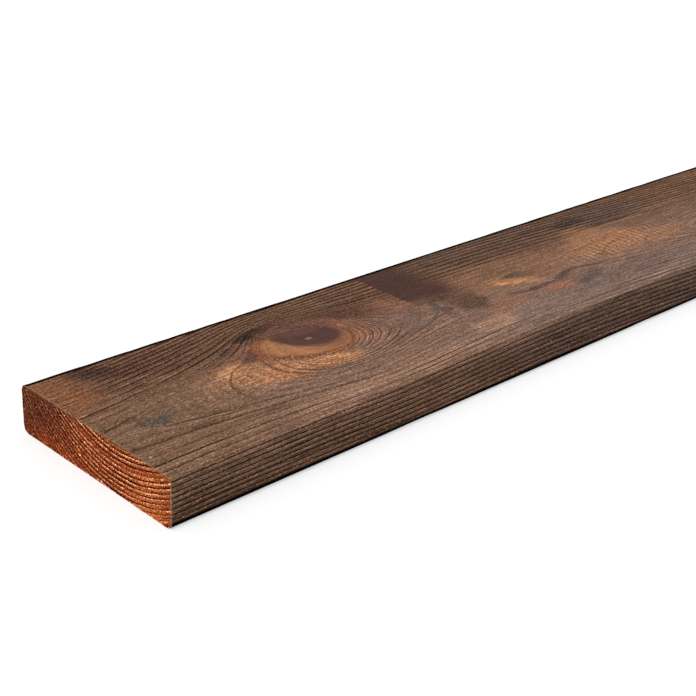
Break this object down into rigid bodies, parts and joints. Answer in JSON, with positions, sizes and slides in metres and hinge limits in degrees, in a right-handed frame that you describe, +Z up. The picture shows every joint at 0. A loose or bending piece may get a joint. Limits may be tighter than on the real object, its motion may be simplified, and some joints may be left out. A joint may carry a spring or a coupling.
{
  "type": "timber plank",
  "caption": "Flat planed softwood board, heat-treated dark brown, with rounded long edges and square-sawn ends, for decking, cladding and joinery.",
  "frame": {"origin": "on the underside of the board, under its middle", "axes": "+X along the grain and the length, +Y across the width, +Z up through the thickness"},
  "size_m": [2.4, 0.117, 0.026],
  "materials": {
    "heat_treated_softwood": "planed and matt, warm dark brown with open grain on the faces, redder and rougher on the sawn ends"
  },
  "bodies": {
    "root": {"plank": "heat_treated_softwood"}
  },
  "joints": []
}
